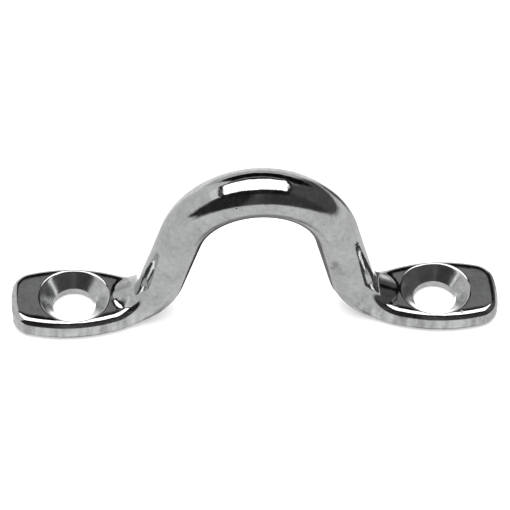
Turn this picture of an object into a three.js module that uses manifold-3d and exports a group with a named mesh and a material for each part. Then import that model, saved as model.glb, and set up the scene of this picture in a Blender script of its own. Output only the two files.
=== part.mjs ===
// A fairlead of the bridge kind, also called a deck saddle or eye strap, in polished stainless.
// A near-round bar arches over the eye that a line runs through, and flattens at each end into
// a foot with a countersunk screw hole. It is one casting with no joins, so it is one mesh.
// Millimetres, +Z up. X runs from foot to foot, and the line runs through the eye along Y.
// The origin is in the middle of the underside, on the deck.

import * as THREE from "three";
import { mergeVertices } from "three/addons/utils/BufferGeometryUtils.js";
import Module from "manifold-3d";

const wasm = await Module();
wasm.setup();

// Driving dimensions.
const LENGTH = 66; // over both feet
const HEIGHT = 25; // from the deck to the top of the arch
const BAR_THICKNESS = 6; // across the bar, in the plane of the arch
const BAR_WIDTH = 6.6; // along Y, in the legs
const CROWN_WIDTH = 7.1; // along Y, at the top of the arch
const CROWN_RADIUS = 10.8; // of the bar's centreline over the eye
const BEND_RADIUS = 6.5; // of the bar's centreline where a leg turns out into its foot
const LEG_ANGLE = THREE.MathUtils.degToRad(74); // of each leg above the deck
const FOOT_THICKNESS = 2.8;
const FOOT_WIDTH = 11;
const FOOT_WIDEST_AT = 25.4; // distance from the middle of the part
const FOOT_SIDE_RADIUS = 20; // in plan
const FOOT_END_RADIUS = 16; // in plan
const FOOT_CORNER_RADIUS = 3; // in plan
const UPPER_EDGE_RADIUS = 1; // round the foot's top face
const LOWER_EDGE_RADIUS = 0.8; // round the foot's underside
const TONGUE_TIP = 19.5; // distance from the middle to where the bar's round top has run out
const TONGUE_SLOPE = 0.44; // rise over run, along the tongue's crest
const TONGUE_CROWN = 0.088; // fall from the crest, per square of the distance to one side
const TONGUE_SIDE = 2.6; // beyond this distance to one side it falls away faster
const HOLE_SPACING = 49;
const HOLE_RADIUS = 2.9; // clears an M5 screw
const COUNTERSINK_RADIUS = 4.7; // at the foot's top face, for a 90 degree head

// How finely the curves are cut into facets.
const QUARTER_SIDES = 8; // of the bar's section
const CROWN_STEPS = 12; // from the top of the arch to a leg
const BEND_STEPS = 14;
const SIDE_STEPS = 10;
const CORNER_STEPS = 6;
const END_STEPS = 8;
const UPPER_EDGE_STEPS = 5;
const LOWER_EDGE_STEPS = 4;
const TONGUE_STEPS = 14;
const HOLE_SIDES = 64;

// Worked out from them.
const FOOT_MIDDLE = FOOT_THICKNESS / 2; // height of the bar's centreline inside a foot
const CROWN_CENTRE_Z = HEIGHT - BAR_THICKNESS / 2 - CROWN_RADIUS;
const BEND_CENTRE_Z = FOOT_MIDDLE + BEND_RADIUS;
const ARC_RADII = CROWN_RADIUS + BEND_RADIUS;
const LEG_LENGTH =
  (CROWN_CENTRE_Z - BEND_CENTRE_Z + ARC_RADII * Math.cos(LEG_ANGLE)) / Math.sin(LEG_ANGLE);
const FOOT_START = ARC_RADII * Math.sin(LEG_ANGLE) + LEG_LENGTH * Math.cos(LEG_ANGLE);

const BURIED = 0.8; // how far the bar runs on inside a foot
const SKIN = 0.03; // how far the bar's end stays below the foot's faces
const TONGUE_BURIED = { from: 16, to: 20, halfWidth: 2.9, floor: 1.5 }; // its hidden faces
const OVERRUN = 2; // how far a cutter runs past what it cuts

// A three.js geometry as a manifold-3d solid.
function solidFrom(geometry) {
  const plain = geometry.clone();
  plain.deleteAttribute("normal");
  plain.deleteAttribute("uv");
  const merged = mergeVertices(plain, 1e-4);
  return new wasm.Manifold(
    new wasm.Mesh({
      numProp: 3,
      vertProperties: new Float32Array(merged.attributes.position.array),
      triVerts: new Uint32Array(merged.index.array),
    }),
  );
}

// A manifold-3d solid as a three.js geometry.
function geometryFrom(solid) {
  const mesh = solid.getMesh();
  const geometry = new THREE.BufferGeometry();
  geometry.setAttribute("position", new THREE.BufferAttribute(mesh.vertProperties, 3));
  geometry.setIndex(new THREE.BufferAttribute(mesh.triVerts, 1));
  geometry.computeVertexNormals();
  return geometry;
}

function middleOf(ring) {
  const sum = ring.reduce((total, point) => total.add(point), new THREE.Vector3());
  return sum.divideScalar(ring.length);
}

// A closed surface through rings of equal length, with a fan over the first and the last ring.
function loftGeometry(rings) {
  const sides = rings[0].length;
  const lastRing = rings.length - 1;
  const points = rings.flat();
  const firstMiddle = points.length;
  const lastMiddle = points.length + 1;
  points.push(middleOf(rings[0]), middleOf(rings[lastRing]));
  const indices = [];
  for (let side = 0; side < sides; side++) {
    const next = (side + 1) % sides;
    for (let ring = 0; ring < lastRing; ring++) {
      const a = ring * sides + side;
      const b = ring * sides + next;
      indices.push(a, b, b + sides, a, b + sides, a + sides);
    }
    indices.push(firstMiddle, next, side);
    indices.push(lastMiddle, lastRing * sides + side, lastRing * sides + next);
  }
  const geometry = new THREE.BufferGeometry().setFromPoints(points);
  geometry.setIndex(indices);
  return geometry;
}

// The larger of two lengths, rounded over where they cross.
function smoothMax(a, b) {
  const sharpness = 3;
  return Math.log(Math.exp(sharpness * a) + Math.exp(sharpness * b)) / sharpness;
}

// Half the width of a foot at a distance from the middle of the part, before its end is rounded.
function footHalfWidth(distance) {
  const away = distance - FOOT_WIDEST_AT;
  return FOOT_WIDTH / 2 - FOOT_SIDE_RADIUS + Math.sqrt(FOOT_SIDE_RADIUS ** 2 - away ** 2);
}

// The right half of the bar's centreline, from the crown to the end buried in the foot.
// A station has its place in the XZ plane, the slope that it runs down at, the size of the
// section there, and how far that section has gone from the bar's oval to the foot's rectangle.
// The bar is a little wider along Y over the eye than in its legs.
function halfBarStations() {
  const bar = { halfWidth: BAR_WIDTH / 2, halfThickness: BAR_THICKNESS / 2, flattened: 0 };
  const stations = [];
  for (let i = 0; i <= CROWN_STEPS; i++) {
    const slope = (LEG_ANGLE * i) / CROWN_STEPS;
    const x = CROWN_RADIUS * Math.sin(slope);
    const z = CROWN_CENTRE_Z + CROWN_RADIUS * Math.cos(slope);
    const swell = (1 + Math.cos((Math.PI * i) / CROWN_STEPS)) / 2;
    const halfWidth = THREE.MathUtils.lerp(BAR_WIDTH, CROWN_WIDTH, swell) / 2;
    stations.push({ x, z, slope, ...bar, halfWidth });
  }
  for (let i = 0; i <= BEND_STEPS; i++) {
    const slope = LEG_ANGLE * (1 - i / BEND_STEPS);
    const x = FOOT_START - BEND_RADIUS * Math.sin(slope);
    const z = BEND_CENTRE_Z - BEND_RADIUS * Math.cos(slope);
    const flattened = THREE.MathUtils.smoothstep(i, 0, BEND_STEPS);
    const footWidthHere = footHalfWidth(FOOT_START - BEND_RADIUS * slope) - SKIN;
    const wide = smoothMax(footWidthHere, bar.halfWidth);
    const halfWidth = THREE.MathUtils.lerp(bar.halfWidth, wide, flattened);
    const halfThickness = THREE.MathUtils.lerp(bar.halfThickness, FOOT_MIDDLE - SKIN, flattened);
    stations.push({ x, z, slope, halfWidth, halfThickness, flattened });
  }
  const footEnd = stations[stations.length - 1];
  stations.push({ ...footEnd, x: FOOT_START + BURIED });
  return stations;
}

// A point of the bar's oval, counted round from +Y towards the top.
function ovalPoint(side, halfWidth, halfThickness) {
  const turn = ((Math.PI / 2) * side) / QUARTER_SIDES;
  return new THREE.Vector2(halfWidth * Math.cos(turn), halfThickness * Math.sin(turn));
}

// The matching point of the foot's section, a rectangle with rounded edges. Each quarter starts
// in the middle of a face and then follows the edge.
function rectanglePoint(side, halfWidth, halfThickness) {
  const quarter = Math.floor(side / QUARTER_SIDES);
  const step = side % QUARTER_SIDES;
  if (step === 0) return ovalPoint(side, halfWidth, halfThickness);
  const radius = quarter < 2 ? UPPER_EDGE_RADIUS : LOWER_EDGE_RADIUS;
  const quarterTurn = Math.PI / 2;
  const turn = quarterTurn * (quarter + (step - 1) / (QUARTER_SIDES - 2));
  const towardsCorner = quarterTurn * (quarter + 0.5);
  const cornerY = Math.sign(Math.cos(towardsCorner)) * (halfWidth - radius);
  const cornerZ = Math.sign(Math.sin(towardsCorner)) * (halfThickness - radius);
  return new THREE.Vector2(cornerY + radius * Math.cos(turn), cornerZ + radius * Math.sin(turn));
}

// The section at a station as a ring of points. In the section's own plane, x is along Y
// and y is outward from the bar's centreline.
function sectionRing({ x, z, slope, halfWidth, halfThickness, flattened }) {
  const ring = [];
  for (let side = 0; side < 4 * QUARTER_SIDES; side++) {
    const oval = ovalPoint(side, halfWidth, halfThickness);
    const rectangle = rectanglePoint(side, halfWidth, halfThickness);
    const point = oval.lerp(rectangle, flattened);
    const outX = point.y * Math.sin(slope);
    const outZ = point.y * Math.cos(slope);
    ring.push(new THREE.Vector3(x + outX, point.x, z + outZ));
  }
  return ring;
}

// Where two circles in plan cross, on the left of the way from the first centre to the second.
function crossing(centreA, radiusA, centreB, radiusB) {
  const unit = centreB.clone().sub(centreA);
  const reach = unit.length();
  unit.normalize();
  const along = (radiusA ** 2 - radiusB ** 2 + reach ** 2) / (2 * reach);
  const across = Math.sqrt(radiusA ** 2 - along ** 2);
  return new THREE.Vector2(
    centreA.x + along * unit.x - across * unit.y,
    centreA.y + along * unit.y + across * unit.x,
  );
}

// Points along an arc in plan, leaving out its start.
function arcPoints(centre, radius, from, to, steps) {
  const points = [];
  for (let i = 1; i <= steps; i++) {
    const turn = THREE.MathUtils.lerp(from, to, i / steps);
    const x = centre.x + radius * Math.cos(turn);
    const y = centre.y + radius * Math.sin(turn);
    points.push(new THREE.Vector2(x, y));
  }
  return points;
}

// The right foot's plan drawn in from its outline by an inset: a side arc from the bend,
// a corner arc, the end arc, and the same again on the other side. It starts on the -Y side.
function footPlan(inset) {
  const sideCentre = new THREE.Vector2(FOOT_WIDEST_AT, FOOT_WIDTH / 2 - FOOT_SIDE_RADIUS);
  const endCentre = new THREE.Vector2(LENGTH / 2 - FOOT_END_RADIUS, 0);
  const cornerCentre = crossing(
    endCentre,
    FOOT_END_RADIUS - FOOT_CORNER_RADIUS,
    sideCentre,
    FOOT_SIDE_RADIUS - FOOT_CORNER_RADIUS,
  );
  const sideRadius = FOOT_SIDE_RADIUS - inset;
  const start = Math.acos((FOOT_START - FOOT_WIDEST_AT) / sideRadius);
  const sideEnd = cornerCentre.clone().sub(sideCentre).angle();
  const endStart = cornerCentre.clone().sub(endCentre).angle();
  const half = [
    new THREE.Vector2(FOOT_START, sideCentre.y + sideRadius * Math.sin(start)),
    ...arcPoints(sideCentre, sideRadius, start, sideEnd, SIDE_STEPS),
    ...arcPoints(cornerCentre, FOOT_CORNER_RADIUS - inset, sideEnd, endStart, CORNER_STEPS),
    ...arcPoints(endCentre, FOOT_END_RADIUS - inset, endStart, 0, END_STEPS / 2),
  ];
  const mirrored = half.map((point) => new THREE.Vector2(point.x, -point.y));
  return [...mirrored, ...half.reverse().slice(1)];
}

// The right foot without its hole, lofted up from the deck through plans of changing inset.
function footGeometry() {
  const layers = [];
  for (let i = 0; i <= LOWER_EDGE_STEPS; i++) {
    const turn = ((Math.PI / 2) * i) / LOWER_EDGE_STEPS;
    const inset = LOWER_EDGE_RADIUS * (1 - Math.sin(turn));
    layers.push({ inset, z: LOWER_EDGE_RADIUS * (1 - Math.cos(turn)) });
  }
  for (let i = 0; i <= UPPER_EDGE_STEPS; i++) {
    const turn = ((Math.PI / 2) * i) / UPPER_EDGE_STEPS;
    const inset = UPPER_EDGE_RADIUS * (1 - Math.cos(turn));
    layers.push({ inset, z: FOOT_THICKNESS - UPPER_EDGE_RADIUS * (1 - Math.sin(turn)) });
  }
  const rings = layers.map(({ inset, z }) =>
    footPlan(inset).map((point) => new THREE.Vector3(point.x, point.y, z)),
  );
  return loftGeometry(rings);
}

// Height of the right tongue's surface.
function tongueHeight(x, y) {
  const beside = Math.max(0, Math.abs(y) - TONGUE_SIDE);
  const crest = FOOT_THICKNESS + TONGUE_SLOPE * (TONGUE_TIP - x);
  return crest - TONGUE_CROWN * y ** 2 - beside ** 2;
}

// The right tongue, in which the bar's round top runs down over the foot to the countersink.
// Only its upper surface shows: its ends, sides and floor lie inside the bar and the foot.
function tongueGeometry() {
  const { from, to, halfWidth, floor } = TONGUE_BURIED;
  const rings = [from, to].map((x) => {
    const ring = [new THREE.Vector3(x, halfWidth, floor)];
    for (let i = 0; i <= TONGUE_STEPS; i++) {
      const y = halfWidth * (1 - (2 * i) / TONGUE_STEPS);
      ring.push(new THREE.Vector3(x, y, tongueHeight(x, y)));
    }
    ring.push(new THREE.Vector3(x, -halfWidth, floor));
    return ring;
  });
  return loftGeometry(rings);
}

// The cutter for the right foot's screw hole: a straight hole that opens into a 90 degree cone.
function screwHoleGeometry() {
  const coneDepth = COUNTERSINK_RADIUS - HOLE_RADIUS;
  const profile = [
    new THREE.Vector2(0, -OVERRUN),
    new THREE.Vector2(HOLE_RADIUS, -OVERRUN),
    new THREE.Vector2(HOLE_RADIUS, FOOT_THICKNESS - coneDepth),
    new THREE.Vector2(COUNTERSINK_RADIUS + OVERRUN, FOOT_THICKNESS + OVERRUN),
    new THREE.Vector2(0, FOOT_THICKNESS + OVERRUN),
  ];
  const geometry = new THREE.LatheGeometry(profile, HOLE_SIDES);
  geometry.rotateX(Math.PI / 2);
  geometry.translate(HOLE_SPACING / 2, 0, 0);
  return geometry;
}

// The right half, joined to its mirror image on the plane through the crown.
function chockGeometry() {
  const halfBar = solidFrom(loftGeometry(halfBarStations().map(sectionRing)));
  const foot = solidFrom(footGeometry());
  const tongue = solidFrom(tongueGeometry());
  const screwHole = solidFrom(screwHoleGeometry());
  const half = halfBar.add(foot).add(tongue).subtract(screwHole);
  return geometryFrom(half.add(half.mirror([1, 0, 0])));
}

const polishedStainless = new THREE.MeshStandardMaterial({
  color: 0xb9babb,
  metalness: 1,
  roughness: 0.12,
});

const casting = new THREE.Mesh(chockGeometry(), polishedStainless);
casting.name = "chock_casting";

const fairlead = new THREE.Group();
fairlead.name = "fairlead_chock";
fairlead.add(casting);

export default fairlead;
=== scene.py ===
import math

import bmesh
import bpy
import numpy as np
from mathutils import Matrix, Vector


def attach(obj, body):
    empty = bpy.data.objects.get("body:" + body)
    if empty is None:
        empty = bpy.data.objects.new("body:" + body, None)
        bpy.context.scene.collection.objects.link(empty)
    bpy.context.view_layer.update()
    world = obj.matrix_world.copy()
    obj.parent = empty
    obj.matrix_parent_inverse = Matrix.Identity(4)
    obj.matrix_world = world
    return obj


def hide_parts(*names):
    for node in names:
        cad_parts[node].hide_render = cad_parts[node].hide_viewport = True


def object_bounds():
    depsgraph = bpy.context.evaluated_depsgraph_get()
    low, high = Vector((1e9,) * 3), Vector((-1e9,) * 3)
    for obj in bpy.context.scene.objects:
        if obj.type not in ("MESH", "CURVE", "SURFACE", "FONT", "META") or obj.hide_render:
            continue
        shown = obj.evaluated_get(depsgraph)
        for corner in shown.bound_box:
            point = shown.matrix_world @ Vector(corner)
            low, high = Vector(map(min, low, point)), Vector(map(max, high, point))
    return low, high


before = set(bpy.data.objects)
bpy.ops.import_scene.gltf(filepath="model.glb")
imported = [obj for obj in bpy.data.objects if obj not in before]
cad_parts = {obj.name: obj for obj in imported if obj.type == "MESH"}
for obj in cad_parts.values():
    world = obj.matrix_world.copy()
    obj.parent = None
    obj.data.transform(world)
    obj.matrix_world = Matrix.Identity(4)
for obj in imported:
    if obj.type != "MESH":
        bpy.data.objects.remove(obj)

CAD_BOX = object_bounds()

# Sizes of the chock, in millimetres. Its length and its height are the CAD model's.
LENGTH, HEIGHT = (round(1000 * (CAD_BOX[1][k] - CAD_BOX[0][k]), 3) for k in (0, 2))
BAR_THICKNESS, BAR_WIDTH, CROWN_WIDTH = 6.0, 6.6, 7.1
CROWN_RADIUS, BEND_RADIUS = 10.8, 6.5
LEG_ANGLE = math.radians(74)
FOOT_THICKNESS, FOOT_WIDTH = 2.8, 11.0
FOOT_WIDEST_AT, FOOT_SIDE_RADIUS = 25.4, 20.0
FOOT_END_RADIUS, FOOT_CORNER_RADIUS = 16.0, 3.0
UPPER_EDGE, LOWER_EDGE = 1.0, 0.8
HOLE_X, HOLE_RADIUS, SINK_RADIUS = 24.5, 2.9, 4.7
RIM_ROUND = 0.22      # rounding of the countersink's rim
RIM_SPAN = 0.3        # how far to each side of the rim the mesh is finer
THROAT_ROUND = 0.2    # rounding where the cone meets the hole
LIP_ROUND = 0.15      # rounding where the hole meets the underside
TONGUE_TIP = 19.5     # how far out the bar's rounded top runs down over the foot
TONGUE_SLOPE = 0.44   # rise over run, along the tongue's crest
TONGUE_CROWN = 0.088  # fall from the crest, per square of the distance to one side
TONGUE_SIDE = 2.6     # beyond this distance to one side it falls away faster
TONGUE_BLEND = 0.14   # the crease round it is softened where the two heights are this close
ROLL_REACH, ROLL_DROP = 1.9, 0.10   # the polished foot falls away gently towards its edges

# Worked out from them.
FOOT_MIDDLE = FOOT_THICKNESS / 2
SIDE_TOP = FOOT_THICKNESS - UPPER_EDGE - ROLL_DROP
CROWN_Z = HEIGHT - BAR_THICKNESS / 2 - CROWN_RADIUS
BEND_Z = FOOT_MIDDLE + BEND_RADIUS
ARCS = CROWN_RADIUS + BEND_RADIUS
LEG_LENGTH = (CROWN_Z - BEND_Z + ARCS * math.cos(LEG_ANGLE)) / math.sin(LEG_ANGLE)
FOOT_START = ARCS * math.sin(LEG_ANGLE) + LEG_LENGTH * math.cos(LEG_ANGLE)
# Seen along the bar, the foot's edges look wider where its outline runs aslant.
ASLANT = (FOOT_WIDEST_AT - FOOT_START) / FOOT_SIDE_RADIUS
EDGE_STRETCH = 1 / math.sqrt(1 - ASLANT**2)
SIDE_CENTRE = np.array([FOOT_WIDEST_AT, FOOT_WIDTH / 2 - FOOT_SIDE_RADIUS])
END_CENTRE = np.array([LENGTH / 2 - FOOT_END_RADIUS, 0.0])
THROAT_Z = FOOT_THICKNESS - (SINK_RADIUS - HOLE_RADIUS)

# How finely the mesh is cut.
CROWN_STEPS, LEG_STEPS, BEND_STEPS = 48, 10, 48
UPPER_EDGE_STEPS, LOWER_EDGE_STEPS, FLAT_STEPS, SIDE_STEPS = 9, 7, 14, 8
OVER_STEPS = 2 * UPPER_EDGE_STEPS + FLAT_STEPS
PLAN_SIDE_STEPS, PLAN_CORNER_STEPS, PLAN_END_STEPS = 36, 18, 12
FILLET_STEPS, PLATE_STEPS, RIM_STEPS, CONE_STEPS, THROAT_STEPS = 13, 12, 8, 8, 6
HOLE_STEPS, LIP_STEPS, UNDER_STEPS, UNDER_EDGE_STEPS = 5, 3, 11, 6
TOP_SAMPLES, UNDER_SAMPLES, CURVE_SAMPLES = 900, 600, 1500   # of a line before it is cut
STRIDE = 0.3                      # about the length of a step where a line is straight
TURN_PER_STEP = math.radians(6)   # and about how far the line turns in a step elsewhere
BLUR = 0.1                        # how far the short steps reach past a turn
SAME_POINT = 1e-7                 # two points of a line closer than this are one
RIM_SHARE, EDGE_SHARE = 0.35, 0.12   # least part of a foot's strip beside its rim and edge
UNDER_EDGE_FROM = 0.93            # the lower edge takes at least the rest of a strip
WELD = 2e-6                       # vertices closer than this are joined, in metres


def smoothstep(t):
    t = min(max(t, 0.0), 1.0)
    return t * t * (3 - 2 * t)


def smooth_max(a, b, sharpness=3.0):
    """The larger of two lengths, rounded over where they cross."""
    return math.log(math.exp(sharpness * a) + math.exp(sharpness * b)) / sharpness


def arc(centre, radius, start, end, steps):
    turn = np.linspace(start, end, steps + 1)
    x, y = centre[0] + radius * np.cos(turn), centre[1] + radius * np.sin(turn)
    return np.stack([x, y], 1)


def spaced(low, high, steps):
    """Points from low to high that lie closer together near both ends."""
    even = np.linspace(0, 1, steps + 1)
    eased = (1 - np.cos(math.pi * even)) / 2
    return low + (high - low) * (even + eased) / 2


def crowded(t):
    """0 to 1, with the steps between shorter near 0."""
    return 0.6 * t**2 + 0.4 * t


def tongue_height(x, y):
    """Height of the tongue in which the bar's rounded top runs down to the countersink."""
    beside = np.clip(np.abs(y) - TONGUE_SIDE, 0, None)
    ramp = FOOT_THICKNESS + TONGUE_SLOPE * (TONGUE_TIP - x)
    return ramp - TONGUE_CROWN * y**2 - beside**2


def with_tongue(x, y, z):
    """The heights z with the tongue standing out of them."""
    tongue = tongue_height(x, y)
    near = np.clip(TONGUE_BLEND - np.abs(z - tongue), 0, None) / TONGUE_BLEND
    return np.maximum(z, tongue) + near**2 * TONGUE_BLEND / 4


def rolled(depth):
    """How far the foot's top falls away, at a depth inside its edge."""
    return ROLL_DROP * (np.clip(ROLL_REACH - depth, 0, None) / ROLL_REACH) ** 2


# ---------------------------------------------------------------- the bar
def foot_half_width(x):
    """Half the foot's width between its side arcs."""
    across = math.sqrt(FOOT_SIDE_RADIUS**2 - (x - FOOT_WIDEST_AT) ** 2)
    return SIDE_CENTRE[1] + across


def foot_section(half_width, half_thickness):
    """The foot's section, from its -Y upper edge over the top, down, back under and up."""
    side, top = half_width, half_thickness
    upper_y = side - UPPER_EDGE * EDGE_STRETCH
    lower_y = side - LOWER_EDGE * EDGE_STRETCH
    over = spaced(-upper_y, upper_y, FLAT_STEPS)
    under = spaced(lower_y, -lower_y, OVER_STEPS - 2 * LOWER_EDGE_STEPS)
    down = np.linspace(top - UPPER_EDGE - ROLL_DROP, LOWER_EDGE - top, SIDE_STEPS + 1)
    wide = np.array([EDGE_STRETCH, 1])
    quarter = math.pi / 2

    def upper_edge(y, start, end):
        turned = arc((0, 0), UPPER_EDGE, start, end, UPPER_EDGE_STEPS)
        return np.array([y, top - UPPER_EDGE]) + wide * turned

    def lower_edge(y, start, end):
        turned = arc((0, 0), LOWER_EDGE, start, end, LOWER_EDGE_STEPS)
        return np.array([y, LOWER_EDGE - top]) + wide * turned

    return np.concatenate(
        [
            upper_edge(-upper_y, 2 * quarter, quarter),
            np.stack([over, np.full_like(over, top)], 1)[1:],
            upper_edge(upper_y, quarter, 0)[1:],
            np.stack([np.full_like(down, side), down], 1)[1:],
            lower_edge(lower_y, 0, -quarter)[1:],
            np.stack([under, np.full_like(under, -top)], 1)[1:],
            lower_edge(-lower_y, -quarter, -2 * quarter)[1:],
            np.stack([np.full_like(down, -side), down[::-1]], 1)[1:-1],
        ]
    )


def oval_section(half_width, half_thickness):
    """The bar's section, with as many points as the foot's and in matching places."""
    above, below = math.radians(22), math.radians(32)
    turn = np.concatenate(
        [
            np.linspace(math.pi - above, above, OVER_STEPS + 1),
            np.linspace(above, -below, SIDE_STEPS + 1)[1:],
            np.linspace(-below, below - math.pi, OVER_STEPS + 1)[1:],
            np.linspace(below - math.pi, -math.pi - above, SIDE_STEPS + 1)[1:-1],
        ]
    )
    return np.stack([half_width * np.cos(turn), half_thickness * np.sin(turn)], 1)


def stations():
    """(x, z, slope, half width, half thickness, flattened) from the crown to the right foot."""
    wide, thick = BAR_WIDTH / 2, BAR_THICKNESS / 2
    places = []
    for i in range(CROWN_STEPS + 1):
        slope = LEG_ANGLE * i / CROWN_STEPS
        x = CROWN_RADIUS * math.sin(slope)
        z = CROWN_Z + CROWN_RADIUS * math.cos(slope)
        swell = (1 + math.cos(math.pi * i / CROWN_STEPS)) / 2
        places.append((x, z, slope, wide + (CROWN_WIDTH - BAR_WIDTH) / 2 * swell, thick, 0.0))
    leg_x, leg_z = places[-1][:2]
    for i in range(1, LEG_STEPS):
        along = LEG_LENGTH * i / LEG_STEPS
        x = leg_x + along * math.cos(LEG_ANGLE)
        z = leg_z - along * math.sin(LEG_ANGLE)
        places.append((x, z, LEG_ANGLE, wide, thick, 0.0))
    for i in range(BEND_STEPS + 1):
        slope = LEG_ANGLE * (1 - i / BEND_STEPS)
        flattened = smoothstep(i / BEND_STEPS)
        x = FOOT_START - BEND_RADIUS * math.sin(slope)
        z = BEND_Z - BEND_RADIUS * math.cos(slope)
        foot = foot_half_width(FOOT_START - BEND_RADIUS * slope)
        if i < BEND_STEPS:
            foot = smooth_max(foot, wide)
        half_width = wide + (foot - wide) * flattened
        half_thickness = thick + (FOOT_MIDDLE - thick) * flattened
        places.append((x, z, slope, half_width, half_thickness, flattened))
    return places


def bar_ring(station):
    """The bar's section at a station, as a ring of points in space."""
    x, z, slope, half_width, half_thickness, flattened = station
    oval = oval_section(half_width, half_thickness)
    foot = foot_section(half_width, half_thickness)
    y, out = (oval * (1 - flattened) + foot * flattened).T
    over = slice(0, OVER_STEPS + 1)
    depth = np.clip(half_width - np.abs(y[over]), 0, None) / EDGE_STRETCH
    out[over] -= flattened * rolled(depth)
    ring = np.stack([x + out * math.sin(slope), y, z + out * math.cos(slope)], 1)
    if flattened:
        ring[over, 2] = with_tongue(*ring[over].T)
    return ring


# ---------------------------------------------------------------- the feet
def corner_centre():
    """Where the corner arc's centre lies: inside the end arc and the side arc alike."""
    from_end = FOOT_END_RADIUS - FOOT_CORNER_RADIUS
    from_side = FOOT_SIDE_RADIUS - FOOT_CORNER_RADIUS
    apart = SIDE_CENTRE - END_CENTRE
    reach = np.hypot(*apart)
    unit = apart / reach
    along = (from_end**2 - from_side**2 + reach**2) / (2 * reach)
    across = math.sqrt(from_end**2 - along**2)
    return END_CENTRE + along * unit + across * np.array([-unit[1], unit[0]])


def bearing(centre, point):
    """The direction in plan from a centre to a point, in radians from +X."""
    return math.atan2(point[1] - centre[1], point[0] - centre[0])


CORNER_CENTRE = corner_centre()
SIDE_ENDS_AT = bearing(SIDE_CENTRE, CORNER_CENTRE)
END_STARTS_AT = bearing(END_CENTRE, CORNER_CENTRE)


def foot_outline():
    """The right foot's plan from (FOOT_START, -width) round its end to (FOOT_START, +width)."""
    start = math.acos((FOOT_START - FOOT_WIDEST_AT) / FOOT_SIDE_RADIUS)
    corner = SIDE_ENDS_AT, END_STARTS_AT
    half = np.concatenate(
        [
            arc(SIDE_CENTRE, FOOT_SIDE_RADIUS, start, SIDE_ENDS_AT, PLAN_SIDE_STEPS),
            arc(CORNER_CENTRE, FOOT_CORNER_RADIUS, *corner, PLAN_CORNER_STEPS)[1:],
            arc(END_CENTRE, FOOT_END_RADIUS, END_STARTS_AT, 0, PLAN_END_STEPS)[1:],
        ]
    )
    return np.concatenate([half * [1, -1], half[::-1][1:]])


def inset(x, y):
    """How far inside the foot's outline a point in plan is."""
    y = np.abs(y)
    from_side = FOOT_SIDE_RADIUS - np.hypot(x - SIDE_CENTRE[0], y - SIDE_CENTRE[1])
    from_end = FOOT_END_RADIUS - np.hypot(x - END_CENTRE[0], y - END_CENTRE[1])
    dx, dy = x - CORNER_CENTRE[0], y - CORNER_CENTRE[1]
    turn = np.arctan2(dy, dx)
    in_corner = (turn < SIDE_ENDS_AT) & (turn > END_STARTS_AT)
    from_corner = FOOT_CORNER_RADIUS - np.hypot(dx, dy)
    return np.where(in_corner, from_corner, np.minimum(from_side, from_end))


def rounded(depth, radius):
    """How far a rounded edge falls away, at a depth inside the edge."""
    left = radius - np.clip(depth, 0, radius)
    return radius - np.sqrt(radius**2 - left**2)


def top_height(x, y):
    """Height of the foot's top: its flat, its rounded edge and the countersink's cone."""
    depth = inset(x, y)
    plate = FOOT_THICKNESS - rounded(depth, UPPER_EDGE) - rolled(depth)
    plate = with_tongue(x, y, plate)
    cone = FOOT_THICKNESS - SINK_RADIUS + np.hypot(x - HOLE_X, y)
    near = np.clip(RIM_ROUND - np.abs(plate - cone), 0, None) / RIM_ROUND
    return np.minimum(plate, cone) - near**2 * RIM_ROUND / 4


def resample(line, steps):
    """A polyline cut into steps that are shorter where it turns."""
    length = np.hypot(*np.diff(line, axis=0).T)
    line = line[np.concatenate([[True], length > SAME_POINT])]
    leg = np.diff(line, axis=0)
    at = np.concatenate([[0], np.cumsum(np.hypot(*leg.T))])
    heading = np.unwrap(np.arctan2(leg[:, 1], leg[:, 0]))
    turn = np.concatenate([[0], np.abs(np.diff(heading)), [0]])
    grid = np.linspace(0, at[-1], CURVE_SAMPLES)
    turning = np.zeros_like(grid)
    cell = np.clip(np.round(at / grid[1]).astype(int), 0, len(grid) - 1)
    np.add.at(turning, cell, turn / grid[1])
    reach = int(max(1, BLUR / grid[1])) + 1
    kernel = np.hanning(2 * reach + 1)
    padded = np.pad(turning, reach, mode="edge")
    turning = np.convolve(padded, kernel / kernel.sum(), "valid")
    weight = 1 / STRIDE + turning / TURN_PER_STEP
    total = np.concatenate([[0], np.cumsum((weight[1:] + weight[:-1]) / 2)])
    picked = np.interp(np.linspace(0, 1, steps + 1), total / total[-1], grid)
    return np.stack([np.interp(picked, at, line[:, k]) for k in (0, 1)], 1)


def cut(line, along, breaks, steps):
    """A polyline resampled piece by piece. along rises along it, and breaks are values of it."""
    pieces = []
    for start, end, count in zip(breaks[:-1], breaks[1:], steps):
        inner = line[(along > start) & (along < end)]
        ends = [[np.interp(v, along, line[:, k]) for k in (0, 1)] for v in (start, end)]
        piece = resample(np.concatenate([ends[:1], inner, ends[1:]]), count)
        pieces.append(piece if not pieces else piece[1:])
    return np.concatenate(pieces)


def hole_lines():
    """The throat, the bore and the lip as (distance from the hole's axis, height)."""
    drop = THROAT_ROUND * math.tan(math.radians(22.5))
    centre = (HOLE_RADIUS + THROAT_ROUND, THROAT_Z - drop)
    throat = arc(centre, THROAT_ROUND, math.radians(135), math.pi, THROAT_STEPS)
    bore_z = np.linspace(throat[-1, 1], LIP_ROUND, HOLE_STEPS + 1)[1:]
    bore = np.stack([np.full_like(bore_z, HOLE_RADIUS), bore_z], 1)
    lip_centre = (HOLE_RADIUS + LIP_ROUND, LIP_ROUND)
    lip = arc(lip_centre, LIP_ROUND, math.pi, 1.5 * math.pi, LIP_STEPS)[1:]
    return throat, bore, lip


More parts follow.
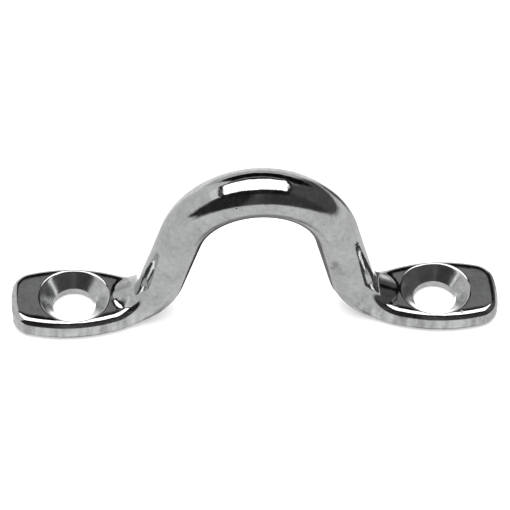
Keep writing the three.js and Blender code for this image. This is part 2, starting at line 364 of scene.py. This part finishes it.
def column_down(top):
    """From a point on the foot's upper edge over its top and down the hole."""
    turn = math.atan2(top[1], top[0] - HOLE_X)
    out = np.array([math.cos(turn), math.sin(turn)])
    outer = math.hypot(top[0] - HOLE_X, top[1])
    throat, bore, lip = hole_lines()
    radius = outer + (throat[0, 0] - outer) * crowded(np.linspace(0, 1, TOP_SAMPLES))
    x, y = HOLE_X + radius * out[0], radius * out[1]
    height = top_height(x, y)
    height[0], height[-1] = top[2], throat[0, 1]
    # The rounded edge ends at this distance from the hole's axis, and leaves room for the
    # steps on both sides of it.
    depth = inset(x, y)
    rim = SINK_RADIUS + RIM_SPAN
    level = radius[np.argmax(depth >= UPPER_EDGE)] if depth[0] < UPPER_EDGE else outer
    span = outer - rim
    level = min(max(level, rim + RIM_SHARE * span), outer - EDGE_SHARE * span)
    breaks = -np.array([outer, level, rim, SINK_RADIUS - RIM_SPAN, throat[0, 0]])
    steps = (FILLET_STEPS, PLATE_STEPS, RIM_STEPS, CONE_STEPS)
    down = cut(np.stack([radius, height], 1), -radius, breaks, steps)
    profile = np.concatenate([down, throat[1:], bore, lip])
    column = np.concatenate([[HOLE_X, 0] + profile[:, :1] * out, profile[:, 1:]], axis=1)
    column[0] = top
    return column


def column_back(start, under):
    """From the hole's lip along the underside to a point on the foot's lower edge."""
    way = np.array(under[:2]) - start
    span = np.hypot(*way)
    t = 1 - crowded(1 - np.linspace(0, 1, UNDER_SAMPLES))
    plan = start + way * t[:, None]
    depth = inset(plan[:, 0], plan[:, 1])
    rise = rounded(depth, LOWER_EDGE)
    rise[-1] = under[2]
    edge = span * t[np.argmax(depth < LOWER_EDGE)] if depth[-1] < LOWER_EDGE else span
    edge = min(edge, UNDER_EDGE_FROM * span)
    flat = np.stack([t * span, rise], 1)
    flat = cut(flat, flat[:, 0], (0, edge, span), (UNDER_STEPS, UNDER_EDGE_STEPS))
    plan = start + way * flat[:, :1] / span
    column = np.concatenate([plan, flat[:, 1:]], axis=1)[1:]
    column[-1] = under
    return column


def foot_column(top, under):
    """One strip of the foot, from its upper edge through the hole to its lower edge."""
    down = column_down(top)
    return np.concatenate([down, column_back(down[-1, :2], under)])


def foot_strips(neck):
    """The right foot as strips round its hole. neck is the bar's last ring."""
    over = neck[: OVER_STEPS + 1]
    under = neck[OVER_STEPS + SIDE_STEPS : 2 * OVER_STEPS + SIDE_STEPS + 1][::-1]
    ends = [((x, y, SIDE_TOP), (x, y, LOWER_EDGE)) for x, y in foot_outline()]
    ends += [(over[j], under[j]) for j in range(OVER_STEPS - 1, 0, -1)]
    return np.array([foot_column(top, below) for top, below in ends])


def foot_wall():
    """The foot's upright side, between its two rounded edges."""
    heights = np.linspace(SIDE_TOP, LOWER_EDGE, SIDE_STEPS + 1)
    return np.array([[(x, y, z) for z in heights] for x, y in foot_outline()])


# ---------------------------------------------------------------- the mesh
class Shell:
    """Gathers grids of points into one mesh."""

    def __init__(self):
        self.points, self.faces, self.count = [], [], 0

    def add(self, grid, wrap_rows=False, wrap_columns=False, flip=False):
        rows, columns = grid.shape[:2]
        row = np.arange(rows if wrap_rows else rows - 1)[:, None]
        column = np.arange(columns if wrap_columns else columns - 1)[None, :]
        next_row, next_column = (row + 1) % rows, (column + 1) % columns
        corners = [
            row * columns + column,
            next_row * columns + column,
            next_row * columns + next_column,
            row * columns + next_column,
        ]
        quads = np.stack([c.ravel() for c in np.broadcast_arrays(*corners)], 1)
        self.faces.append(self.count + (quads[:, ::-1] if flip else quads))
        self.points.append(grid.reshape(-1, 3))
        self.count += rows * columns

    def mesh(self, name, weld):
        mesh = bpy.data.meshes.new(name)
        points = np.concatenate(self.points) / 1000
        mesh.from_pydata(points.tolist(), [], np.concatenate(self.faces).tolist())
        work = bmesh.new()
        work.from_mesh(mesh)
        bmesh.ops.remove_doubles(work, verts=work.verts, dist=weld)
        bmesh.ops.recalc_face_normals(work, faces=work.faces)
        for face in work.faces:
            face.smooth = True
        work.to_mesh(mesh)
        work.free()
        return mesh


def chock_mesh():
    rings = np.array([bar_ring(station) for station in stations()])
    strips, wall = foot_strips(rings[-1]), foot_wall()
    mirror = np.array([-1, 1, 1])
    shell = Shell()
    shell.add(np.concatenate([(rings * mirror)[:0:-1], rings]), wrap_columns=True)
    for side in (np.ones(3), mirror):
        flip = side[0] < 0
        shell.add(strips * side, wrap_rows=True, flip=flip)
        shell.add(wall * side, flip=not flip)
    return shell.mesh("chock_body", WELD)


def vertex_arrays(mesh):
    """The places, in millimetres, and the normals of a mesh's vertices."""
    count = len(mesh.vertices)
    place, normal = np.empty(3 * count), np.empty(3 * count)
    mesh.vertices.foreach_get("co", place)
    mesh.vertex_normals.foreach_get("vector", normal)
    return place.reshape(-1, 3) * 1000, normal.reshape(-1, 3)


def fade(value, start, end):
    """0 up to start and 1 from end on. end may be the lower one of the two."""
    return np.clip((value - start) / (end - start), 0, 1)


def bend_of(mesh, place, normal, shortest=0.02):
    """How sharply the surface bends at each vertex, in radians per millimetre. An edge
    counts as no shorter than shortest."""
    ends = np.empty(2 * len(mesh.edges), dtype=np.int64)
    mesh.edges.foreach_get("vertices", ends)
    a, b = ends.reshape(-1, 2).T
    bend = np.linalg.norm(normal[a] - normal[b], axis=1)
    bend /= np.maximum(np.linalg.norm(place[a] - place[b], axis=1), shortest)
    sharpest = np.zeros(len(place))
    for index in (a, b):
        np.maximum.at(sharpest, index, bend)
    return sharpest


def add_masks(mesh):
    """Vertex masks for the finish: edge (sharply curved), turned (inside a screw hole),
    ground (the flat underside), satin (where the polishing wheel reaches less well),
    flank (the feet's upright sides) and arch (the bar, well above the feet)."""
    place, normal = vertex_arrays(mesh)
    x, y, z = place.T
    upward = normal[:, 2]
    outward = normal[:, 0] * np.sign(x) + 0.6 * upward
    inside_rim, below_top = SINK_RADIUS - 0.1, FOOT_THICKNESS - 0.12
    in_sink = (np.hypot(np.abs(x) - HOLE_X, y) < inside_rim) & (z < below_top)
    turned = in_sink & (upward > -0.5)
    masks = {
        "edge": fade(bend_of(mesh, place, normal), 0.6, 2.6),
        "turned": turned,
        "ground": (z < 0.02) & (upward < -0.9),
        "satin": np.clip(0.55 - 0.9 * outward, 0, 1) * fade(z, 0.5, 2.5),
        "flank": fade(np.abs(upward), 0.7, 0.4) * fade(z, 3.4, 2.4) * ~turned,
        "arch": fade(z, 5, 10),
    }
    for name, values in masks.items():
        layer = mesh.attributes.new(name, "FLOAT", "POINT")
        layer.data.foreach_set("value", np.asarray(values, dtype=np.float32))


# ---------------------------------------------------------------- node helpers
class Nodes:
    """Short ways to write a node tree."""

    def __init__(self, tree):
        self.tree = tree
        tree.nodes.clear()

    def make(self, kind, **settings):
        node = self.tree.nodes.new(kind)
        for name, value in settings.items():
            setattr(node, name, value)
        return node

    def put(self, socket, value):
        if isinstance(value, bpy.types.NodeSocket):
            self.tree.links.new(value, socket)
        else:
            socket.default_value = value

    def math(self, operation, *values, clamp=False):
        node = self.make("ShaderNodeMath", operation=operation, use_clamp=clamp)
        for socket, value in zip(node.inputs, values):
            self.put(socket, value)
        return node.outputs[0]

    def mix(self, amount, a, b):
        """A number between a and b."""
        node = self.make("ShaderNodeMix", data_type="FLOAT")
        for name, value in (("Factor", amount), ("A", a), ("B", b)):
            self.put(node.inputs[name], value)
        return node.outputs[0]

    def ramp(self, value, low, high, out_low=0.0, out_high=1.0, smooth=True):
        """value from low..high to out_low..out_high, held at both ends."""
        easing = "SMOOTHSTEP" if smooth else "LINEAR"
        node = self.make("ShaderNodeMapRange", interpolation_type=easing)
        settings = (value, low, high, out_low, out_high)
        for name, item in zip(("Value", "From Min", "From Max", "To Min", "To Max"), settings):
            self.put(node.inputs[name], item)
        return node.outputs[0]

    def band(self, value, low, high, soft):
        """1 between low and high, with soft ends."""
        rise = self.ramp(value, low - soft, low + soft)
        fall = self.ramp(value, high - soft, high + soft, 1.0, 0.0)
        return self.math("MULTIPLY", rise, fall)

    def attribute(self, name):
        return self.make("ShaderNodeAttribute", attribute_name=name).outputs["Fac"]

    def object_place(self):
        return self.make("ShaderNodeTexCoord").outputs["Object"]

    def split(self, vector):
        node = self.make("ShaderNodeSeparateXYZ")
        self.put(node.inputs[0], vector)
        return node.outputs

    def colour(self, red, green, blue):
        node = self.make("ShaderNodeCombineColor")
        for socket, value in zip(node.inputs, (red, green, blue)):
            self.put(socket, value)
        return node.outputs[0]

    def show(self, shader, kind="ShaderNodeOutputMaterial"):
        self.put(self.make(kind).inputs["Surface"], shader.outputs[0])

    def noise(self, place, scale, detail=2.0, roughness=0.5, stretch=None):
        """Noise with about scale patches in a metre."""
        if stretch:
            mapping = self.make("ShaderNodeMapping")
            self.put(mapping.inputs["Vector"], place)
            mapping.inputs["Scale"].default_value = stretch
            place = mapping.outputs[0]
        node = self.make("ShaderNodeTexNoise")
        self.put(node.inputs["Vector"], place)
        for name, value in (("Scale", scale), ("Detail", detail), ("Roughness", roughness)):
            node.inputs[name].default_value = value
        return node.outputs["Fac"]


def new_material(name):
    material = bpy.data.materials.new(name)
    material.use_nodes = True
    return material, Nodes(material.node_tree)


# ---------------------------------------------------------------- the finish
def casting_pits(n, place):
    """1 in the sparse pits of the casting, which come in clusters."""
    cells = n.make("ShaderNodeTexVoronoi")
    n.put(cells.inputs["Vector"], place)
    cells.inputs["Scale"].default_value = 620
    cluster = n.ramp(n.noise(place, 420, detail=1), 0.60, 0.66)
    return n.math("MULTIPLY", n.ramp(cells.outputs["Distance"], 0.06, 0.13, 1.0, 0.0), cluster)


def steel_colour(n, place, cloud, grain, pit, masks):
    """Grey steel, mottled, stained where it is satin and streaked on the feet's sides."""
    stain = n.ramp(n.noise(place, 330, detail=3, roughness=0.7), 0.56, 0.72)
    stain = n.math("MULTIPLY", stain, n.ramp(masks["satin"], 0.05, 0.5))
    streak = n.noise(place, 800, detail=3, stretch=(1, 1, 0.1))
    streak = n.ramp(streak, 0.35, 0.65, -0.13, 0.15)
    tone = n.mix(n.ramp(cloud, 0.3, 0.7), 0.58, 0.70)
    tone = n.math("ADD", tone, n.ramp(grain, 0.3, 0.7, -0.06, 0.06))
    tone = n.math("SUBTRACT", tone, n.math("MULTIPLY", stain, 0.24))
    tone = n.math("ADD", tone, n.math("MULTIPLY", streak, masks["flank"]))
    tone = n.mix(n.math("MULTIPLY", masks["edge"], 0.5), tone, 0.70)
    tone = n.mix(n.math("MULTIPLY", pit, 0.75), tone, 0.10)
    return n.colour(n.math("MULTIPLY", tone, 0.992), tone, n.math("MULTIPLY", tone, 1.004))


def steel_roughness(n, cloud, grain, pit, masks):
    """A mirror polish, duller where it is satin, turned or ground."""
    rough = n.ramp(cloud, 0.3, 0.75, 0.03, 0.07)
    rough = n.math("ADD", rough, n.ramp(grain, 0.35, 0.75, 0.0, 0.035))
    rough = n.math("ADD", rough, n.math("MULTIPLY", masks["satin"], 0.12))
    rough = n.mix(masks["turned"], rough, 0.20)
    rough = n.mix(masks["ground"], rough, 0.38)
    return n.math("ADD", rough, n.math("MULTIPLY", pit, 0.3), clamp=True)


def steel_height(n, place, grain, pit, masks):
    """Height of the surface, in metres."""
    ripple = n.ramp(n.noise(place, 190), 0.0, 1.0, 0.0, 4.0e-5, smooth=False)
    waves = n.math("MULTIPLY", n.noise(place, 850), 1.6e-5)
    polish = n.noise(place, 5200, roughness=0.6)
    height = n.math("ADD", ripple, n.math("MULTIPLY", grain, 3.0e-6))
    height = n.math("ADD", height, n.math("MULTIPLY", waves, masks["arch"]))
    height = n.math("ADD", height, n.math("MULTIPLY", polish, 0.5e-6))
    return n.math("SUBTRACT", height, n.math("MULTIPLY", pit, 2.0e-5))


def polished_stainless():
    material, n = new_material("polished_stainless")
    place = n.object_place()
    names = ("edge", "turned", "ground", "satin", "flank", "arch")
    masks = {name: n.attribute(name) for name in names}
    cloud = n.noise(place, 260, detail=4, roughness=0.6)      # patches of a few millimetres
    grain = n.noise(place, 1500, detail=3, roughness=0.65)    # mottling under a millimetre
    pit = casting_pits(n, place)

    bump = n.make("ShaderNodeBump")
    bump.inputs["Strength"].default_value = 1.0
    bump.inputs["Distance"].default_value = 1.0
    n.put(bump.inputs["Height"], steel_height(n, place, grain, pit, masks))
    shader = n.make("ShaderNodeBsdfPrincipled")
    shader.inputs["Metallic"].default_value = 1.0
    n.put(shader.inputs["Base Color"], steel_colour(n, place, cloud, grain, pit, masks))
    n.put(shader.inputs["Roughness"], steel_roughness(n, cloud, grain, pit, masks))
    n.put(shader.inputs["Normal"], bump.outputs[0])
    n.show(shader)
    return material


# ---------------------------------------------------------------- the studio
# Metres and degrees, where nothing else is said. A bearing is 0 behind the chock and +90 on
# its right.
FLOOR_RADIUS, FLOOR_SIDES = 0.30, 128
FLOOR_GAP = 0.00002     # how far it lies below the chock's underside
# Where the dark card of painted shade lies on the floor, and how high.
CARD_X, CARD_Y, CARD_Z = (-0.010, 0.010), (0.001, 0.028), 0.0002
LAMP_PLACE, LAMP_SIZE, LAMP_POWER = (-0.06, 0.03, 0.50), (0.50, 0.36), 1.1
WHITE = 1.9             # the backdrop, as the camera and the floor see it
DARKNESS = 0.078        # the studio, where nothing listed in ROOM or CEILING stands in it

# What the polished steel mirrors: bearings, heights, softness of their ends, brightness.
# A later one covers those before it.
ROOM = (
    ((-200, 200), (-95, 3), (10, 5), 0.66),      # the floor
    ((-128, -30), (-20, 75), (6, 8), 0.64),      # a bright wall on the left
    ((26, 46), (-24, -2), (4, 4), 0.10),         # a dark patch of it behind on the right
    ((-38, 29), (-40, 8), (5, 4), 0.90),         # a paler floor behind
    ((-38, 42), (-70, -42), (10, 4), 0.42),      # a greyer strip of floor nearer by
    ((-200, 200), (-95, -68), (10, 7), 0.27),    # the shade straight below
    ((-150, -45), (-95, -66), (15, 6), 0.62),    # light that reaches in there from the left
    ((-28, 16), (-59, -32), (5, 4), 2.2),        # a pool of light on the floor behind
    ((14, 26), (-44, -20), (3, 4), 1.7),         # and its end on the right
    ((-30, 30), (8, 26), (6, 3), 0.55),          # a grey wall behind
    ((-60, 60), (44, 50), (10, 1), 0.21),        # a grey rail above it
    ((-29, 52), (24, 44), (3, 1), 0.004),        # the black below the rail
    ((-29, 52), (50, 60), (3, 1), 0.004),        # and the black above it
    ((-172, -109), (8, 64), (7, 3), 0.018),      # the dark in front on the left
    ((115, 176), (8, 64), (8, 3), 0.042),        # the dark in front on the right
)
# The ceiling: its reach to the right and to the back, in heights of the ceiling.
CEILING = (
    ((-1.10, -0.60), (-0.34, 0.60), 0.05, 0.78),     # a bright stretch on the left
    ((-0.83, 0.66), (-0.62, 0.76), 0.03, 0.010),     # the black round the panel
    ((-0.68, 0.57), (-0.20, 0.64), 0.02, 2.4),       # the panel
)
LOWEST_CEILING = 0.1    # it ends where the sine of the height falls below this

VIEW_AZIMUTH, VIEW_ELEVATION, VIEW_ROLL = -5.912, 46.585, -3.138
VIEW_DISTANCE = 0.44383
VIEW_AIM = (0, 0, 0.0088)
VIEW_LEFT, VIEW_UP = 0.00030, 0.00088     # how far the view's middle is off its aim
LENS, SENSOR = 233.96, 36                 # millimetres


def add_object(name, data):
    thing = bpy.data.objects.new(name, data)
    bpy.context.scene.collection.objects.link(thing)
    return thing


def matte(name, low, high, lift=None):
    """A dull mottled grey. lift is (from x, to x, how much paler it gets on the way)."""
    material, n = new_material(name)
    place = n.object_place()
    shade = n.ramp(n.noise(place, 90), 0.3, 0.7, low, high)
    if lift:
        start, end, paler = lift
        shade = n.math("ADD", shade, n.ramp(n.split(place)[0], start, end, 0.0, paler))
    shader = n.make("ShaderNodeBsdfPrincipled")
    n.put(shader.inputs["Base Color"], n.colour(shade, shade, shade))
    shader.inputs["Roughness"].default_value = 0.9
    shader.inputs["Specular IOR Level"].default_value = 0.0
    n.show(shader)
    return material


def flat_mesh(name, corners, material):
    mesh = bpy.data.meshes.new(name)
    mesh.from_pydata(corners, [], [list(range(len(corners)))])
    mesh.materials.append(material)
    return mesh


def add_floor():
    turns = [2 * math.pi * i / FLOOR_SIDES for i in range(FLOOR_SIDES)]
    rim = [(FLOOR_RADIUS * math.cos(t), FLOOR_RADIUS * math.sin(t), 0.0) for t in turns]
    floor = add_object("floor", flat_mesh("floor", rim, matte("pale_floor", 0.855, 0.865)))
    floor.location.z = -FLOOR_GAP
    floor.visible_glossy = False


def add_painted_shade_card():
    """A dark card of painted shade on the floor behind the arch, paler on the right: it stands
    in for the floor in the arch's shade. Only reflections see it: it draws the thin dark line
    along the inner edge of polished steel on a pale floor."""
    (left, right), (near, far) = CARD_X, CARD_Y
    corners = [(left, near), (right, near), (right, far), (left, far)]
    # Painted shade: near black, paler towards the right.
    material = matte("painted_shade_card", 0.008, 0.012, lift=(-0.005, 0.007, 0.12))
    mesh = flat_mesh("painted_shade_card", [(x, y, CARD_Z) for x, y in corners], material)
    card = add_object("painted_shade_card", mesh)
    card.visible_camera = card.visible_diffuse = card.visible_shadow = False


def add_overhead_light():
    light = bpy.data.lights.new("overhead", "AREA")
    light.shape = "RECTANGLE"
    light.size, light.size_y = LAMP_SIZE
    light.energy = LAMP_POWER
    lamp = add_object("overhead", light)
    lamp.location = LAMP_PLACE
    lamp.rotation_euler = (-lamp.location).to_track_quat("-Z", "Y").to_euler()
    lamp.visible_glossy = False
    lamp.visible_camera = False


def studio_world():
    """Plain white for the camera and the floor. What the polished steel mirrors is a studio
    round the chock: its floor, its walls, and a bright panel in a black ceiling."""
    world = bpy.data.worlds.new("studio")
    bpy.context.scene.world = world
    world.use_nodes = True
    n = Nodes(world.node_tree)
    x, y, z = n.split(n.make("ShaderNodeTexCoord").outputs["Generated"])
    around, height = n.math("ARCTAN2", x, y), n.math("ARCSINE", z)
    glow = DARKNESS
    for bearings, heights, soft, level in ROOM:
        bearings, heights, soft = (np.radians(v).tolist() for v in (bearings, heights, soft))
        sides = n.band(around, *bearings, soft[0])
        ends = n.band(height, *heights, soft[1])
        glow = n.mix(n.math("MULTIPLY", sides, ends), glow, level)
    above = n.math("MAXIMUM", z, LOWEST_CEILING)
    across, behind = n.math("DIVIDE", x, above), n.math("DIVIDE", y, above)
    overhead = n.math("GREATER_THAN", z, LOWEST_CEILING)
    for spans, depths, soft, level in CEILING:
        patch = n.math("MULTIPLY", n.band(across, *spans, soft), n.band(behind, *depths, soft))
        glow = n.mix(n.math("MULTIPLY", patch, overhead), glow, level)

    mirrored = n.make("ShaderNodeLightPath").outputs["Is Glossy Ray"]
    background = n.make("ShaderNodeBackground")
    background.inputs["Color"].default_value = (1, 1, 1, 1)
    n.put(background.inputs["Strength"], n.mix(mirrored, WHITE, glow))
    n.show(background, "ShaderNodeOutputWorld")


def add_camera():
    azimuth, elevation, roll = map(math.radians, (VIEW_AZIMUTH, VIEW_ELEVATION, VIEW_ROLL))
    level_right = Vector((math.cos(azimuth), math.sin(azimuth), 0))
    level_back = Vector((math.sin(azimuth), -math.cos(azimuth), 0))
    back = level_back * math.cos(elevation) + Vector((0, 0, math.sin(elevation)))
    upright = back.cross(level_right)
    right = level_right * math.cos(roll) - upright * math.sin(roll)
    up = level_right * math.sin(roll) + upright * math.cos(roll)
    middle = Vector(VIEW_AIM) - right * VIEW_LEFT + up * VIEW_UP
    data = bpy.data.cameras.new("camera")
    data.lens, data.sensor_width = LENS, SENSOR
    data.clip_start, data.clip_end = 0.01, 10
    camera = add_object("camera", data)
    turned = Matrix((right, up, back)).transposed().to_4x4()
    camera.matrix_world = Matrix.Translation(middle + back * VIEW_DISTANCE) @ turned
    bpy.context.scene.camera = camera


def add_chock():
    mesh = chock_mesh()
    add_masks(mesh)
    mesh.materials.append(polished_stainless())
    chock = add_object("chock_body", mesh)
    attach(chock, "root")
    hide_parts("chock_casting")


add_camera()
add_chock()
add_floor()
add_painted_shade_card()
add_overhead_light()
studio_world()
bpy.context.scene.view_settings.view_transform = "Standard"
bpy.context.scene.view_settings.look = "None"
